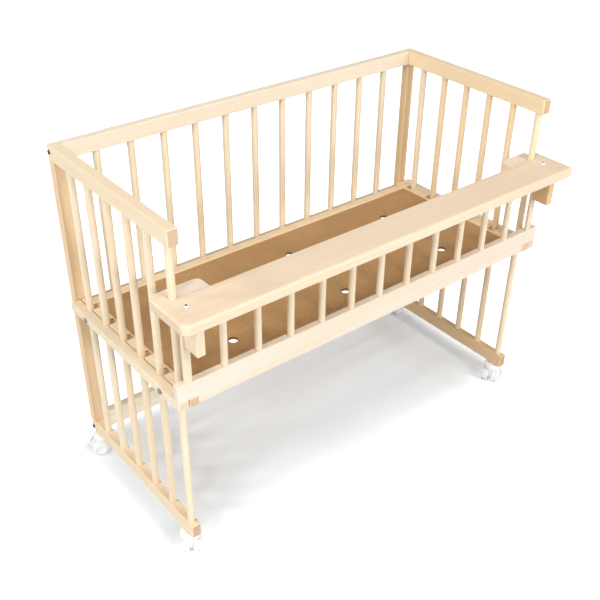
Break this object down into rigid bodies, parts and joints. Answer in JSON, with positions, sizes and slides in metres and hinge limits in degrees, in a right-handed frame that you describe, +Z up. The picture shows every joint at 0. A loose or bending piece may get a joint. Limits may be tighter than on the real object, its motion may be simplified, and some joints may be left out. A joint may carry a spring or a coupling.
{
  "type": "wooden crib",
  "caption": "Bedside wooden crib on casters: round-spindle ends and back, a clamped height-adjustable bed base with a vented floor, and a lift-off barrier with a shelf.",
  "frame": {"origin": "on the floor, under the middle of the crib's overall box", "axes": "+X along the crib's length to the right end, seen from the barrier; +Y from the barrier to the back; +Z up"},
  "size_m": [1, 0.4996, 0.763],
  "materials": {
    "pine": "clear satin lacquer on pale pine, fine straight grain",
    "fibreboard": "brown hardboard, matt",
    "white_plastic": "moulded, light satin",
    "steel": "dark bolt heads"
  },
  "bodies": {
    "frame": {"left_top_rail": "pine", "right_top_rail": "pine", "left_bottom_rail": "pine", "right_bottom_rail": "pine", "left_back_post": "pine", "right_back_post": "pine", "back_top_rail": "pine", "lower_back_rail": "pine", "back_spindle_panel": "pine", "left_spindle_1": "pine", "left_spindle_2": "pine", "left_spindle_3": "pine", "left_spindle_4": "pine", "left_spindle_5": "pine", "left_spindle_6": "pine", "right_spindle_1": "pine", "right_spindle_2": "pine", "right_spindle_3": "pine", "right_spindle_4": "pine", "right_spindle_5": "pine", "right_spindle_6": "pine"},
    "bed_base": {"floor_panel": "fibreboard", "left_comb_rail": "pine", "right_comb_rail": "pine", "left_clamp_bar": "pine", "right_clamp_bar": "pine", "rear_rail": "pine", "front_rail": "pine", "left_rear_clamp_bolt": "steel", "left_front_clamp_bolt": "steel", "right_rear_clamp_bolt": "steel", "right_front_clamp_bolt": "steel"},
    "barrier": {"front_board": "pine", "shelf": "pine", "left_end_post": "pine", "right_end_post": "pine", "left_bracket": "pine", "right_bracket": "pine", "left_ear": "pine", "right_ear": "pine", "barrier_spindle_1": "pine", "barrier_spindle_2": "pine", "barrier_spindle_3": "pine", "barrier_spindle_4": "pine", "barrier_spindle_5": "pine", "barrier_spindle_6": "pine", "barrier_spindle_7": "pine", "barrier_spindle_8": "pine", "barrier_spindle_9": "pine", "barrier_spindle_10": "pine", "barrier_spindle_11": "pine"},
    "front_left_caster": {"front_left_caster_hood": "white_plastic"},
    "front_left_wheels": {"front_left_caster_wheels": "white_plastic"},
    "front_right_caster": {"front_right_caster_hood": "white_plastic"},
    "front_right_wheels": {"front_right_caster_wheels": "white_plastic"},
    "back_left_caster": {"back_left_caster_hood": "white_plastic"},
    "back_left_wheels": {"back_left_caster_wheels": "white_plastic"},
    "back_right_caster": {"back_right_caster_hood": "white_plastic"},
    "back_right_wheels": {"back_right_caster_wheels": "white_plastic"}
  },
  "joints": [
    {"name": "base_height", "type": "slide", "parent": "frame", "child": "bed_base", "axis": [0, 0, 1], "range_m": [-0.2, 0.07]},
    {"name": "barrier_lift", "type": "slide", "parent": "bed_base", "child": "barrier", "axis": [0, 0, 1], "range_m": [0, 0.03]},
    {"name": "front_left_swivel", "type": "hinge", "parent": "frame", "child": "front_left_caster", "pos_m": [-0.4654, -0.15275, 0.054], "axis": [0, 0, 1], "continuous": true},
    {"name": "front_left_roll", "type": "hinge", "parent": "front_left_caster", "child": "front_left_wheels", "pos_m": [-0.4704, -0.16141, 0.019], "axis": [0.866, -0.5, 0], "continuous": true},
    {"name": "front_right_swivel", "type": "hinge", "parent": "frame", "child": "front_right_caster", "pos_m": [0.4654, -0.15275, 0.054], "axis": [0, 0, 1], "continuous": true},
    {"name": "front_right_roll", "type": "hinge", "parent": "front_right_caster", "child": "front_right_wheels", "pos_m": [0.45637, -0.15706, 0.019], "axis": [0.4305, -0.9026, 0], "continuous": true},
    {"name": "back_left_swivel", "type": "hinge", "parent": "frame", "child": "back_left_caster", "pos_m": [-0.4654, 0.22325, 0.054], "axis": [0, 0, 1], "continuous": true},
    {"name": "back_left_roll", "type": "hinge", "parent": "back_left_caster", "child": "back_left_wheels", "pos_m": [-0.4751, 0.22567, 0.019], "axis": [-0.2419, -0.9703, 0], "continuous": true},
    {"name": "back_right_swivel", "type": "hinge", "parent": "frame", "child": "back_right_caster", "pos_m": [0.4654, 0.22325, 0.054], "axis": [0, 0, 1], "continuous": true},
    {"name": "back_right_roll", "type": "hinge", "parent": "back_right_caster", "child": "back_right_wheels", "pos_m": [0.4751, 0.22567, 0.019], "axis": [-0.2419, 0.9703, 0], "continuous": true}
  ]
}
